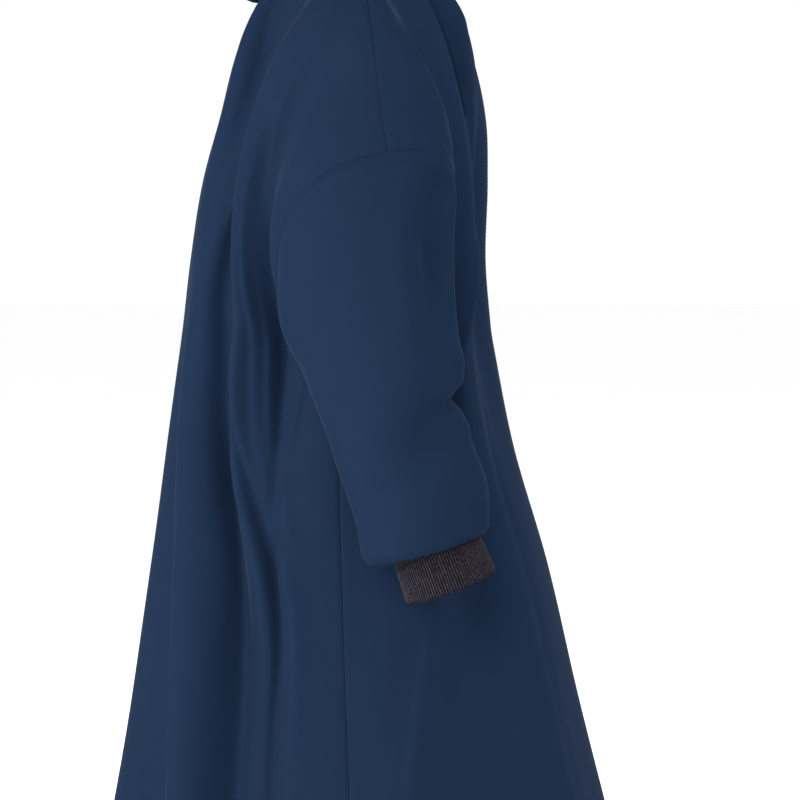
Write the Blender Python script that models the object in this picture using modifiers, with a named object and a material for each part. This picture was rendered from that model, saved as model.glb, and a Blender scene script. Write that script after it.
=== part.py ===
# A changing robe: a long hooded coat with dropped shoulders, wide sleeves on rib-knit
# cuffs and a closed zip down the front. The cloth hangs as it does on a wearer.
# Metres, +Z up. The wearer's left is +X and the back is +Y. The origin is the middle of
# the neck at the height of the shoulders' high points, where the wearer carries the robe.

import math
from collections import namedtuple

import bmesh
import bpy
import numpy as np
from mathutils import Matrix, Vector

WALL = 0.0025
SEAM_GAP = 0.0003
SHOULDER_DRAW = 0.0004
SLEEVE_DRAW = 0.0006
HEM_Z = -1.150
UNDERARM_Z = -0.405
NECK_BACK_Z = -0.018
NECK_FRONT_Z = -0.045

ZIP_HALF_WIDTH = 0.007
ZIP_TAPE = 0.0016
CHAIN_HALF_WIDTH = 0.003
CHAIN_TOP_HALF_WIDTH = 0.0021
CHAIN_RISE = 0.0014
ZIP_SINK = 0.0010

CUFF_RIBS = 104
RIB_RISE = 0.0008
CUFF_WALL = 0.0022
CUFF_LENGTH = 0.058
CUFF_TOP_RADIUS = 0.0405
CUFF_END_RADIUS = 0.0430
CUFF_TOP = (0.352, -0.068, -0.568)
CUFF_LEAN = math.radians(21)
SLEEVE_LAP = 0.012

# Rows and columns of the cloth's grid, and how near its seam the last of them lies.
LOWER_ROWS = 12
YOKE_ROWS = 10
SLEEVE_ROWS = 18
SLEEVE_COLUMNS = 24
HOOD_COLUMNS = 13
EDGE_STEP = 0.006
SLEEVE_EDGE_STEP = 0.02

# Rings around the body from the hem to the underarm.
Section = namedtuple("Section", "z back front half_width side_y fullness")
SECTIONS = (
    Section(HEM_Z, 0.300, 0.316, 0.365, -0.006, 2.25),
    Section(-0.950, 0.268, 0.270, 0.333, 0.000, 2.25),
    Section(-0.780, 0.238, 0.227, 0.303, 0.008, 2.30),
    Section(-0.640, 0.217, 0.194, 0.275, 0.013, 2.30),
    Section(-0.520, 0.200, 0.159, 0.252, 0.016, 2.35),
    Section(UNDERARM_Z, 0.184, 0.136, 0.235, 0.0095, 2.40),
)

# The middle of the back and of the front from the underarm's height to the neck.
Middle = namedtuple("Middle", "z back front")
MIDDLES = (
    Middle(UNDERARM_Z, 0.184, 0.136),
    Middle(-0.330, 0.175, 0.130),
    Middle(-0.246, 0.161, 0.132),
    Middle(-0.184, 0.144, 0.130),
    Middle(-0.123, 0.128, 0.117),
    Middle(-0.061, 0.101, 0.093),
    Middle(NECK_BACK_Z, 0.078, 0.070),
)

# The shoulder seam from the neck to the top of the armhole.
Shoulder = namedtuple("Shoulder", "x y z")
SHOULDERS = (
    Shoulder(0.080, 0.004, 0.000),
    Shoulder(0.130, -0.001, -0.020),
    Shoulder(0.180, -0.006, -0.048),
    Shoulder(0.220, -0.011, -0.078),
    Shoulder(0.255, -0.016, -0.114),
    Shoulder(0.290, -0.021, -0.157),
    Shoulder(0.318, -0.026, -0.195),
    Shoulder(0.335, -0.0305, -0.222),
)
NECK_SHARE = 0.27
NECK_PITCH = math.radians(62)
NECK_PULL = 0.42
CHEST_PULL = 0.38
SHOULDER_PULL = 0.27

# Rings around the arm. The first is the armhole, and the last five roll under the cuff's
# seam. Outer is the side away from the body.
Ring = namedtuple("Ring", "x y side depth outer_z mid_z inner_z lean front_rise")
ARMHOLE = Ring(0.285, -0.0105, 0.050, 0.0805, -0.222, -0.290, UNDERARM_Z, 0.020, 0.011)
ARM_RINGS = (
    ARMHOLE,
    Ring(0.296, -0.0105, 0.057, 0.0820, -0.250, -0.318, -0.415, 0.018, 0.010),
    Ring(0.304, -0.0120, 0.061, 0.0825, -0.303, -0.358, -0.432, 0.013, 0.008),
    Ring(0.312, -0.0225, 0.062, 0.0745, -0.362, -0.400, -0.452, 0.008, 0.012),
    Ring(0.319, -0.0295, 0.063, 0.0695, -0.405, -0.432, -0.470, 0.005, 0.014),
    Ring(0.327, -0.0380, 0.063, 0.0650, -0.452, -0.468, -0.492, 0.000, 0.014),
    Ring(0.335, -0.0480, 0.062, 0.0630, -0.498, -0.505, -0.518, 0.000, 0.016),
    Ring(0.343, -0.0600, 0.060, 0.0600, -0.544, -0.545, -0.550, 0.000, 0.017),
    Ring(0.349, -0.0650, 0.058, 0.0590, -0.581, -0.579, -0.577, 0.000, 0.014),
)
LIP_RINGS = (
    Ring(0.350, -0.0665, 0.0545, 0.0550, -0.5855, -0.5845, -0.5835, 0.0, 0.0155),
    Ring(0.351, -0.0690, 0.0495, 0.0490, -0.5865, -0.5865, -0.5865, 0.0, 0.0150),
    Ring(0.352, -0.0712, 0.0455, 0.0435, -0.5838, -0.5838, -0.5838, 0.0, 0.0145),
)

# The sleeve's folds: where each one's middle lies down the rings and around them, how far
# it reaches each way, how many rings it slants by over a whole turn and its rise in mm.
ArmFold = namedtuple("ArmFold", "name down turn reach_down reach_turn slant rise")
ARM_FOLDS = (
    ArmFold("elbow notch", 5.00, 0.775, 0.50, 0.13, 3.0, -11),
    ArmFold("above the notch", 4.25, 0.79, 0.55, 0.1, 2.0, 4),
    ArmFold("below the notch", 5.60, 0.77, 0.50, 0.12, 2.0, 3.5),
    ArmFold("forearm trough", 6.10, 0.9, 0.55, 0.2, 1.0, -5),
    ArmFold("forearm roll", 7.05, 0.79, 0.70, 0.16, 1.0, 3),
    ArmFold("inner elbow", 5.20, 0.55, 0.70, 0.12, -2.0, -5),
    ArmFold("upper arm", 2.05, 0.872, 1.60, 0.085, 0.0, -13),
    ArmFold("arm corner", 2.05, 0.945, 1.80, 0.04, 0.0, 2),
)

# The crests and troughs of the body's folds, in order around one side: where each runs
# across the panels and how far it stands out (mm) at eight heights. Across is 0 at the
# middle of the back, 1 at the side and 2 at the middle of the front.
Heights = namedtuple("Heights", "hem knee hip waist elbow chest blade neck")
LEVELS = Heights(0.0, 0.42, 0.67, 0.81, 0.94, 1.12, 1.50, 2.0)
Crest = namedtuple("Crest", "name columns_before across rise")
CRESTS = (
    Crest("back middle", 0, Heights(0, 0, 0, 0, 0, 0, 0, 0), Heights(0, 0, 0, 0, 0, 0, 0, 0)),
    Crest(
        "back trough",
        3,
        Heights(0.40, 0.36, 0.29, 0.23, 0.16, 0.14, 0.12, 0.12),
        Heights(-38, -33, -25, -16, -8, -4, -11, -4),
    ),
    Crest(
        "back lobe",
        3,
        Heights(0.60, 0.545, 0.47, 0.40, 0.30, 0.26, 0.20, 0.19),
        Heights(7, 7, 5, 4, 2, -2, -10, -4),
    ),
    Crest(
        "blade trough",
        3,
        Heights(0.69, 0.68, 0.65, 0.585, 0.53, 0.515, 0.44, 0.32),
        Heights(-25, -29, -30, -30, -31, -32, -26, -4),
    ),
    Crest(
        "blade ridge",
        2,
        Heights(0.765, 0.76, 0.76, 0.675, 0.645, 0.685, 0.66, 0.62),
        Heights(-15, -17, -12, -5, 8, 9, 9, 4),
    ),
    Crest(
        "blade crease",
        1,
        Heights(0.815, 0.81, 0.815, 0.745, 0.70, 0.725, 0.70, 0.67),
        Heights(-19, -21, -18, -14, -3, 4, 5, 1),
    ),
    Crest(
        "arm ridge",
        1,
        Heights(0.885, 0.88, 0.88, 0.80, 0.75, 0.76, 0.735, 0.71),
        Heights(2, 2, 1, -13, -10, -5, -2, 0),
    ),
    Crest(
        "arm trough",
        2,
        Heights(0.93, 0.925, 0.915, 0.85, 0.80, 0.815, 0.775, 0.76),
        Heights(2, 2, 0, -10, -20, -22, -15, -2),
    ),
    Crest("side", 3, Heights(1, 1, 1, 1, 1, 1, 1, 1), Heights(2, 2, 2, 1, 0, 0, 0, 0)),
    Crest(
        "side ridge",
        2,
        Heights(1.045, 1.09, 1.20, 1.25, 1.24, 1.16, 1.14, 1.20),
        Heights(13, 13, 10, 4, 1, 0, 2, 0),
    ),
    Crest(
        "armpit trough",
        3,
        Heights(1.25, 1.28, 1.37, 1.40, 1.38, 1.34, 1.36, 1.46),
        Heights(-13, -13, -12, -8, -10, -20, -27, -8),
    ),
    Crest(
        "front lobe",
        3,
        Heights(1.58, 1.56, 1.54, 1.52, 1.50, 1.58, 1.75, 1.83),
        Heights(4, 4, 2, 1, 4, 7, 8, 2),
    ),
    Crest(
        "front trough",
        3,
        Heights(1.80, 1.80, 1.80, 1.78, 1.76, 1.78, 1.88, 1.92),
        Heights(-5, -4, -3, -5, -10, -15, -13, -3),
    ),
    Crest("front middle", 2, Heights(2, 2, 2, 2, 2, 2, 2, 2), Heights(0, 0, 0, 0, 0, 0, 0, 0)),
)
SIDE_PLACE = 8
LEFT_SHARE = 0.85
LEFT_SHIFT = 0.03
SEAM_FADE = 0.14

# The hood's cut edge to edge: at the front it stands up as a collar, and at the back it
# rolls over and hangs as a pouch. Out is away from the neck.
HoodStep = namedtuple("HoodStep", "front_out front_up back_out back_up")
HOOD_STEPS = (
    HoodStep(0.000, 0.000, 0.000, 0.000),
    HoodStep(-0.001, 0.008, 0.001, 0.015),
    HoodStep(-0.001, 0.015, 0.009, 0.024),
    HoodStep(0.000, 0.022, 0.019, 0.012),
    HoodStep(0.001, 0.028, 0.0235, -0.016),
    HoodStep(0.002, 0.034, 0.0275, -0.045),
    HoodStep(0.004, 0.039, 0.062, -0.030),
    HoodStep(0.006, 0.044, 0.100, -0.013),
    HoodStep(0.008, 0.049, 0.132, 0.018),
    HoodStep(0.0096, 0.053, 0.141, 0.056),
    HoodStep(0.0108, 0.056, 0.124, 0.084),
)
COLLAR_UNTIL = 0.85
POUCH_FROM = 1.95
POUCH_DROP = 2.6

# The slider stands on the chain near the collar's top. Sizes are across, out and along
# the zip. The pull hangs from a bar that passes under the slider's bridge.
SLIDER_STEP = 7
SLIDER_SIZE = (0.0090, 0.0022, 0.0110)
BRIDGE_SIZE = (0.0022, 0.0033, 0.0078)
SLOT_SIZE = (0.0060, 0.0021, 0.0048)
BAR_BELOW = 0.0012
BAR_OUT = 0.00105
PULL_WIDTH = 0.0070
PULL_LENGTH = 0.0290
PULL_THICKNESS = 0.0012
PULL_WINDOW = (0.0034, 0.0092)
PULL_END_SEGMENTS = 10
BURIED = 0.0004
SLIDER_CORNER = 0.0006
WELD = 1e-6

NAVY = (0.018, 0.036, 0.078)
CHARCOAL = (0.021, 0.020, 0.028)
METAL = (0.10, 0.11, 0.13)
BLACK = (0.012, 0.013, 0.016)


def column(table, name):
    return np.array([getattr(row, name) for row in table], float)


def through(knots, values):
    # A cubic through the knots, each with the slope that its neighbours give it.
    order = np.argsort(knots)
    knots = np.asarray(knots, float)[order]
    values = np.asarray(values, float)[order]
    slopes = np.gradient(values, knots)

    def value(at):
        left = int(np.clip(np.searchsorted(knots, at, side="right") - 1, 0, len(knots) - 2))
        step = knots[left + 1] - knots[left]
        t = min(1.0, max(0.0, (at - knots[left]) / step))
        return (
            (2 * t**3 - 3 * t**2 + 1) * values[left]
            + (t**3 - 2 * t**2 + t) * step * slopes[left]
            + (3 * t**2 - 2 * t**3) * values[left + 1]
            + (t**3 - t**2) * step * slopes[left + 1]
        )

    return value


def curves_of(table, knot_name):
    knots = column(table, knot_name)
    return {name: through(knots, column(table, name)) for name in table[0]._fields if name != knot_name}


SECTION = curves_of(SECTIONS, "z")
MIDDLE = curves_of(MIDDLES, "z")
SHOULDER = curves_of(SHOULDERS, "x")
CREST_CURVES = [(through(LEVELS, crest.across), through(LEVELS, crest.rise)) for crest in CRESTS]


def eased(value, start, end):
    t = min(1.0, max(0.0, (value - start) / (end - start)))
    return t * t * (3 - 2 * t)


def eased_wave(t):
    return (1 - math.cos(math.pi * min(1.0, max(0.0, t)))) / 2


def unit(vector):
    return vector / np.linalg.norm(vector)


def body_ring(across, z):
    half_width = SECTION["half_width"](z)
    side_y = SECTION["side_y"](z)
    power = 2 / SECTION["fullness"](z)
    angle = across * math.pi / 2
    reach = abs(math.cos(angle)) ** power
    x = half_width * abs(math.sin(angle)) ** power
    if across <= 1:
        return np.array([x, side_y + (SECTION["back"](z) - side_y) * reach, z])
    return np.array([x, side_y - (SECTION["front"](z) + side_y) * reach, z])


def ring_point(ring, turn):
    # Turn 0 is the outer side, a quarter is the back and a half the inner side.
    angle = turn * 2 * math.pi
    tilt = (ring.outer_z - ring.inner_z) / 2
    sag = (ring.outer_z + ring.inner_z) / 2 - ring.mid_z
    return np.array(
        [
            ring.x + ring.side * math.cos(angle),
            ring.y - ring.lean * math.cos(angle) + ring.depth * math.sin(angle),
            ring.mid_z
            + tilt * math.cos(angle)
            + sag * math.cos(angle) ** 2
            - ring.front_rise * math.sin(angle),
        ]
    )


def arm_fold_height(down, turn):
    height = 0.0
    for fold in ARM_FOLDS:
        aside = (turn - fold.turn + 0.5) % 1 - 0.5
        across = aside / fold.reach_turn
        along = (down - fold.down - fold.slant * aside) / fold.reach_down
        height += fold.rise / 1000 * math.exp(-(across**2) - along**2)
    return height


def sleeve_point(ring, down, turn, side):
    angle = turn * 2 * math.pi
    away = unit(np.array([math.cos(angle) / ring.side, math.sin(angle) / ring.depth, 0.0]))
    height = arm_fold_height(down, turn)
    share = eased(down, 0, 1) * (1 if side < 0 else LEFT_SHARE)
    return (ring_point(ring, turn) + away * height * share) * [side, 1, 1]


def middle_point(face, height):
    # Face is 1 for the back and -1 for the front. Height is 0 at the underarm, 1 at the neck.
    top = NECK_BACK_Z if face > 0 else NECK_FRONT_Z
    z = UNDERARM_Z + (top - UNDERARM_Z) * height
    return np.array([0.0, face * MIDDLE["back" if face > 0 else "front"](z), z])


def top_point(face, out):
    # The neckline from its middle to the shoulder's high point, then the shoulder seam.
    first = SHOULDERS[0]
    if out < NECK_SHARE:
        angle = out / NECK_SHARE * math.pi / 2
        middle = middle_point(face, 1.0)
        return np.array(
            [
                first.x * math.sin(angle),
                first.y + (middle[1] - first.y) * math.cos(angle),
                first.z + (middle[2] - first.z) * math.cos(angle),
            ]
        )
    x = first.x + (SHOULDERS[-1].x - first.x) * (out - NECK_SHARE) / (1 - NECK_SHARE)
    return np.array([x, SHOULDER["y"](x), SHOULDER["z"](x)])


def yoke_strand(face, out, height):
    # One line of cloth from the ring at the underarm's height up to the neck or shoulder.
    across = out if face > 0 else 2 - out
    nudge = 0.01
    start = body_ring(across, UNDERARM_Z)
    climb = (start - body_ring(across, UNDERARM_Z - nudge)) / nudge * CHEST_PULL
    end = top_point(face, out)
    nearness = 1 - eased(out, 0, NECK_SHARE)
    pitch = NECK_PITCH * nearness
    pull = SHOULDER_PULL + (NECK_PULL - SHOULDER_PULL) * nearness
    over = np.array([0.0, -face * math.cos(pitch), math.sin(pitch)]) * pull
    h = height
    return (
        (2 * h**3 - 3 * h**2 + 1) * start
        + (h**3 - 2 * h**2 + h) * climb
        + (3 * h**2 - 2 * h**3) * end
        + (h**3 - h**2) * over
    )


def yoke_point(face, out, height):
    # The strands, moved so that the first is the panel's middle and the last the armhole.
    turn = 0.5 - face * height / 2
    to_middle = middle_point(face, height) - yoke_strand(face, 0.0, height)
    to_armhole = ring_point(ARMHOLE, turn) - yoke_strand(face, 1.0, height)
    near_middle = (1 - out) ** 2 * (1 + 2 * out)
    return yoke_strand(face, out, height) + near_middle * to_middle + out**2.5 * to_armhole


def smooth_body(face, out, level):
    # Level is 0 at the hem, 1 at the underarm and 2 at the shoulder and neck.
    if level <= 1:
        across = out if face > 0 else 2 - out
        return body_ring(across, HEM_Z + (UNDERARM_Z - HEM_Z) * level)
    return yoke_point(face, out, level - 1)


def crest_places(level, side):
    # Where the crests and troughs lie at this level. The left side's are a little apart.
    places = [crest_curve(level) for crest_curve, _ in CREST_CURVES]
    if side > 0:
        places = [place + LEFT_SHIFT * math.sin(place * math.pi) for place in places]
    return places


def fold_height(across, level, side):
    places = crest_places(level, side)
    after = int(np.clip(np.searchsorted(places, across), 1, len(places) - 1))
    share = eased_wave((across - places[after - 1]) / (places[after] - places[after - 1]))
    low, high = (CREST_CURVES[at][1](level) for at in (after - 1, after))
    height = (low + (high - low) * share) / 1000
    return height if side < 0 else height * LEFT_SHARE


def seam_fade(out, level):
    # Folds die out towards the armhole, the shoulder and the neck.
    beside_armhole = eased(level, 0.9, 1.1) * (1 - eased(1 - out, 0, SEAM_FADE))
    return (1 - beside_armhole) * eased(2 - level, 0, SEAM_FADE)


def body_point(face, out, level, side):
    # The folded cloth on one side: -1 is the wearer's right and 1 the left. Out is 0 at the
    # panel's middle and 1 at its side seam or armhole.
    nudge = 0.004
    inner = max(0.0, out - nudge)
    outer = out + nudge if level <= 1 else min(1.0, out + nudge)
    below = max(0.0, level - nudge)
    above = min(2.0, level + nudge)
    along = smooth_body(face, outer, level) - smooth_body(face, inner, level)
    up = smooth_body(face, out, above) - smooth_body(face, out, below)
    away = unit(np.cross(up, along)) * face
    height = fold_height(out if face > 0 else 2 - out, level, side) * seam_fade(out, level)
    return (smooth_body(face, out, level) + away * height) * [side, 1, 1]


def steps(count, seam_first=0.0, seam_last=0.0):
    # Even steps from 0 to 1, with one more this close to each end that is sewn.
    found = list(np.linspace(0, 1, count + 1))
    if seam_first:
        found.insert(1, seam_first)
    if seam_last:
        found.insert(-1, 1 - seam_last)
    return found


def draw_back(rows, gap=SEAM_GAP / 2, first=False, last=False):
    # Shortens the rows' ends, so that pieces sewn together stand a gap apart.
    for row in rows:
        if first:
            row[0] = row[0] + unit(row[1] - row[0]) * gap
        if last:
            row[-1] = row[-1] + unit(row[-2] - row[-1]) * gap
    return rows


def turned(rows):
    return [list(row) for row in zip(*rows)]


def new_object(name, points, faces, collection, colour, roughness, metallic=0.0):
    mesh = bpy.data.meshes.new(name)
    mesh.from_pydata([tuple(map(float, point)) for point in points], [], faces)
    mesh.shade_smooth()
    obj = bpy.data.objects.new(name, mesh)
    collection.objects.link(obj)
    dress(obj, colour, roughness, metallic)
    return obj


def dress(obj, colour, roughness, metallic=0.0):
    material = bpy.data.materials.new(obj.name)
    material.use_nodes = True
    shader = material.node_tree.nodes["Principled BSDF"]
    shader.inputs["Base Color"].default_value = (*colour, 1.0)
    shader.inputs["Roughness"].default_value = roughness
    shader.inputs["Metallic"].default_value = metallic
    obj.data.materials.clear()
    obj.data.materials.append(material)


def grid_faces(rows, columns, wraps_across=False, wraps_along=False):
    faces = []
    for row in range(rows if wraps_along else rows - 1):
        below = row * columns
        above = (row + 1) % rows * columns
        for step in range(columns if wraps_across else columns - 1):
            following = (step + 1) % columns
            faces.append((below + step, below + following, above + following, above + step))
    return faces


def cloth(name, rows, collection, wraps=False, thickness=WALL, colour=NAVY, roughness=0.7):
    # An open sheet of points, thickened away from its outer face.
    points = [point for row in rows for point in row]
    faces = grid_faces(len(rows), len(rows[0]), wraps)
    obj = new_object(name, points, faces, collection, colour, roughness)
    wall = obj.modifiers.new("wall", "SOLIDIFY")
    wall.thickness = thickness
    wall.offset = -1
    wall.use_quality_normals = True
    return obj


def clear_scene():
    for obj in list(bpy.data.objects):
        bpy.data.objects.remove(obj, do_unlink=True)


def body_levels():
    lower = steps(LOWER_ROWS)
    upper = steps(YOKE_ROWS, seam_last=EDGE_STEP)
    return lower + [1 + step for step in upper[1:]]


def panel_outs(face, level, side):
    # The panel's columns at one level, from its middle out. They follow the folds.
    places = crest_places(level, side)
    if face > 0:
        crests = range(1, SIDE_PLACE + 1)
        counts = [CRESTS[at].columns_before for at in crests]
        marks = places[: SIDE_PLACE + 1]
    else:
        crests = range(len(CRESTS) - 1, SIDE_PLACE, -1)
        counts = [CRESTS[at].columns_before for at in crests]
        marks = [2 - place for place in places[:SIDE_PLACE - 1:-1]]
    found = [0.0]
    for count, start, end in zip(counts, marks, marks[1:]):
        found += [start + (end - start) * step / count for step in range(1, count + 1)]
    if face < 0:
        found.insert(1, EDGE_STEP)
    found.insert(-1, 1 - EDGE_STEP)
    return found


def build_back(robe):
    rows = []
    for level in body_levels():
        left = [body_point(1, out, level, 1) for out in panel_outs(1, level, 1)]
        right = [body_point(1, out, level, -1) for out in panel_outs(1, level, -1)[1:]]
        rows.append(left[::-1] + right)
    draw_back(rows, first=True, last=True)
    rows = turned(draw_back(turned(rows), SHOULDER_DRAW, last=True))
    cloth("back", rows, robe)


def beside_zip(out):
    return (ZIP_HALF_WIDTH + SEAM_GAP) * (1 - out) ** 2


def build_front(robe, name, side):
    rows = []
    for level in body_levels():
        row = []
        for out in panel_outs(-1, level, side):
            point = body_point(-1, out, level, side)
            row.append(point + [side * beside_zip(out), 0, 0])
        rows.append(row if side > 0 else row[::-1])
    draw_back(rows, first=side < 0, last=side > 0)
    rows = turned(draw_back(turned(rows), SHOULDER_DRAW, last=True))
    cloth(name, rows, robe)


def cuff_ring(down, radius_add=0.0):
    # A ring square to the cuff, as far down it as its share of the length says.
    radius = CUFF_TOP_RADIUS + (CUFF_END_RADIUS - CUFF_TOP_RADIUS) * down + radius_add
    travel = CUFF_LENGTH * down
    z = CUFF_TOP[2] - travel * math.cos(CUFF_LEAN)
    return Ring(
        CUFF_TOP[0],
        CUFF_TOP[1] - travel * math.sin(CUFF_LEAN),
        radius,
        radius * math.cos(CUFF_LEAN),
        z,
        z,
        z,
        0.0,
        radius * math.sin(CUFF_LEAN),
    )


def build_sleeve(robe, name, side):
    end = cuff_ring(SLEEVE_LAP / CUFF_LENGTH, RIB_RISE + SEAM_GAP)
    arm = {field: through(range(len(ARM_RINGS)), column(ARM_RINGS, field)) for field in Ring._fields}
    turns = np.arange(SLEEVE_COLUMNS) / SLEEVE_COLUMNS
    rows = []
    for share in steps(SLEEVE_ROWS, seam_first=SLEEVE_EDGE_STEP):
        down = share * (len(ARM_RINGS) - 1)
        ring = Ring(*(arm[field](down) for field in Ring._fields))
        rows.append([sleeve_point(ring, down, turn, side) for turn in turns])
    for ring in (*LIP_RINGS, end):
        rows.append([ring_point(ring, turn) * [side, 1, 1] for turn in turns])
    rows = turned(draw_back(turned(rows), SLEEVE_DRAW, first=True))
    if side > 0:
        rows = [row[::-1] for row in rows]
    cloth(name, rows, robe, wraps=True)


def build_cuff(robe, name, side):
    turns = np.arange(2 * CUFF_RIBS) / (2 * CUFF_RIBS)
    rows = []
    for down, inside in ((0, False), (1, False), (1, True), (0, True)):
        row = []
        for step, turn in enumerate(turns):
            rib = RIB_RISE if step % 2 else 0.0
            ring = cuff_ring(down, -CUFF_WALL if inside else rib)
            row.append(ring_point(ring, turn) * [side, 1, 1])
        rows.append(row if side < 0 else row[::-1])
    points = [point for row in rows for point in row]
    faces = grid_faces(len(rows), len(turns), True, True)
    new_object(name, points, faces, robe, CHARCOAL, 0.9)


def neck_point(along):
    # Along the neckline: 0 is its front middle, 1 the shoulder and 2 its back middle.
    if along <= 1:
        return top_point(-1, along * NECK_SHARE)
    return top_point(1, (2 - along) * NECK_SHARE)


def hood_point(along, step):
    start = neck_point(along)
    pouch = eased(along, COLLAR_UNTIL, POUCH_FROM)
    row = HOOD_STEPS[step]
    out = row.front_out + (row.back_out - row.front_out) * pouch
    up = row.front_up + (row.back_up - row.front_up) * pouch**POUCH_DROP
    away = unit(np.array([start[0], start[1], 0.0]))
    return start + away * out + np.array([0, 0, up + 1.5 * SEAM_GAP])


def build_hood(robe, name, side):
    rows = []
    for step in range(len(HOOD_STEPS)):
        row = []
        for share in steps(HOOD_COLUMNS, EDGE_STEP, EDGE_STEP):
            along = 2 * share
            point = hood_point(along, step)
            point[0] += beside_zip(min(1, along))
            row.append(point * [side, 1, 1])
        rows.append(row if side > 0 else row[::-1])
    draw_back(rows, first=side < 0, last=side > 0)
    cloth(name, rows, robe)


def front_line():
    # The outer face along the front's middle, from the hem to the collar's top.
    line = [body_point(-1, 0.0, level, 1) for level in body_levels()]
    return line + [hood_point(0.0, step) for step in range(len(HOOD_STEPS))]


def zip_frame(line, place):
    # The place on the line, its direction up and its direction away from the chest.
    place = np.asarray(place)
    before = line[max(0, place - 1)]
    after = line[min(len(line) - 1, place + 1)]
    up = unit(after - before)
    return line[place], up, unit(np.cross([1, 0, 0], up))


def build_zip(robe):
    line = front_line()
    profile = (
        (-ZIP_HALF_WIDTH, -ZIP_SINK),
        (-CHAIN_HALF_WIDTH, -ZIP_SINK),
        (-CHAIN_TOP_HALF_WIDTH, CHAIN_RISE - ZIP_SINK),
        (CHAIN_TOP_HALF_WIDTH, CHAIN_RISE - ZIP_SINK),
        (CHAIN_HALF_WIDTH, -ZIP_SINK),
        (ZIP_HALF_WIDTH, -ZIP_SINK),
    )
    rows = []
    for place in range(len(line)):
        middle, up, away = zip_frame(line, place)
        rows.append([middle * [0, 1, 1] + np.array([x, 0, 0]) + away * rise for x, rise in profile])
    cloth("zip", rows, robe, thickness=ZIP_TAPE, colour=BLACK, roughness=0.6)


def block(name, collection, size, middle=(0.0, 0.0, 0.0)):
    bpy.ops.mesh.primitive_cube_add(size=1)
    obj = bpy.context.object
    obj.name = name
    obj.data.transform(Matrix.LocRotScale(middle, None, size))
    for other in list(obj.users_collection):
        other.objects.unlink(obj)
    collection.objects.link(obj)
    return obj


def helper(obj, parent=None):
    obj.parent = parent
    obj.hide_render = True
    obj.display_type = "WIRE"
    return obj


def combine(obj, other, operation):
    modifier = obj.modifiers.new(operation.lower(), "BOOLEAN")
    modifier.operation = operation
    modifier.object = other
    modifier.solver = "EXACT"


def slider_frame():
    # The middle of the slider's inner face and its turn about X.
    line = front_line()
    place = len(line) - len(HOOD_STEPS) + SLIDER_STEP
    middle, up, away = zip_frame(line, place)
    seat = middle * [0, 1, 1] + away * (CHAIN_RISE - ZIP_SINK + SEAM_GAP)
    return seat, math.atan2(-up[1], up[2])


def build_slider(robe, helpers):
    seat, lean = slider_frame()
    frame = bpy.data.objects.new("slider_frame", None)
    frame.location = seat
    frame.rotation_euler = (lean, 0, 0)
    helpers.objects.link(frame)
    slider = block("zip_slider", robe, SLIDER_SIZE, (0, -SLIDER_SIZE[1] / 2, 0))
    slider.parent = frame
    corners = slider.modifiers.new("corners", "BEVEL")
    corners.width = SLIDER_CORNER
    corners.segments = 2
    bridge_out = SLIDER_SIZE[1] + BRIDGE_SIZE[1] / 2 - BURIED
    bridge = helper(block("slider_bridge", helpers, BRIDGE_SIZE, (0, -bridge_out, 0)), frame)
    slot_out = SLIDER_SIZE[1] + SLOT_SIZE[1] / 2
    slot = helper(block("slider_slot", helpers, SLOT_SIZE, (0, -slot_out, 0)), frame)
    combine(bridge, slot, "DIFFERENCE")
    combine(slider, bridge, "UNION")
    dress(slider, METAL, 0.35, 0.9)


def pull_outline():
    # Seen from the front: the bar's end has small corners and the other end is round.
    half = PULL_WIDTH / 2
    top = PULL_THICKNESS / 2
    corner = PULL_THICKNESS / 2
    points = [(half, top - corner), (half - corner, top), (corner - half, top), (-half, top - corner)]
    for step in range(PULL_END_SEGMENTS + 1):
        angle = math.pi * (1 + step / PULL_END_SEGMENTS)
        bottom = top - PULL_LENGTH + half
        points.append((half * math.cos(angle), bottom + half * math.sin(angle)))
    return points


def build_pull(robe, helpers):
    outline = pull_outline()
    curve = bpy.data.curves.new("pull_outline", "CURVE")
    curve.dimensions = "2D"
    curve.fill_mode = "BOTH"
    curve.extrude = PULL_THICKNESS / 2
    spline = curve.splines.new("POLY")
    spline.points.add(len(outline) - 1)
    for point, (x, z) in zip(spline.points, outline):
        point.co = (x, z, 0, 1)
    spline.use_cyclic_u = True
    flat = bpy.data.objects.new("pull_outline", curve)
    mesh = bpy.data.meshes.new_from_object(flat)
    bpy.data.objects.remove(flat)
    shape = bmesh.new()
    shape.from_mesh(mesh)
    bmesh.ops.remove_doubles(shape, verts=shape.verts, dist=WELD)
    bmesh.ops.recalc_face_normals(shape, faces=shape.faces)
    shape.to_mesh(mesh)
    shape.free()
    mesh.transform(Matrix.Rotation(math.radians(90), 4, "X"))
    pull = bpy.data.objects.new("zip_pull", mesh)
    robe.objects.link(pull)

    seat, lean = slider_frame()
    bar = Matrix.Rotation(lean, 3, "X") @ Vector((0, -SLIDER_SIZE[1] - BAR_OUT, -BAR_BELOW))
    pull.location = Vector(seat) + bar
    window_middle = -PULL_THICKNESS / 2 - PULL_WINDOW[1] / 2
    window_size = (PULL_WINDOW[0], PULL_WIDTH, PULL_WINDOW[1])
    window = block("pull_window", helpers, window_size, (0, 0, window_middle))
    helper(window, pull)
    combine(pull, window, "DIFFERENCE")
    dress(pull, METAL, 0.35, 0.9)


def main():
    clear_scene()
    robe = bpy.data.collections.new("changing_robe")
    helpers = bpy.data.collections.new("cutters")
    for collection in (robe, helpers):
        bpy.context.scene.collection.children.link(collection)
    build_back(robe)
    for wearers, side in (("right", -1), ("left", 1)):
        build_front(robe, "front_" + wearers, side)
        build_sleeve(robe, "sleeve_" + wearers, side)
        build_cuff(robe, "cuff_" + wearers, side)
        build_hood(robe, "hood_" + wearers, side)
    build_zip(robe)
    build_slider(robe, helpers)
    build_pull(robe, helpers)


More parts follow.
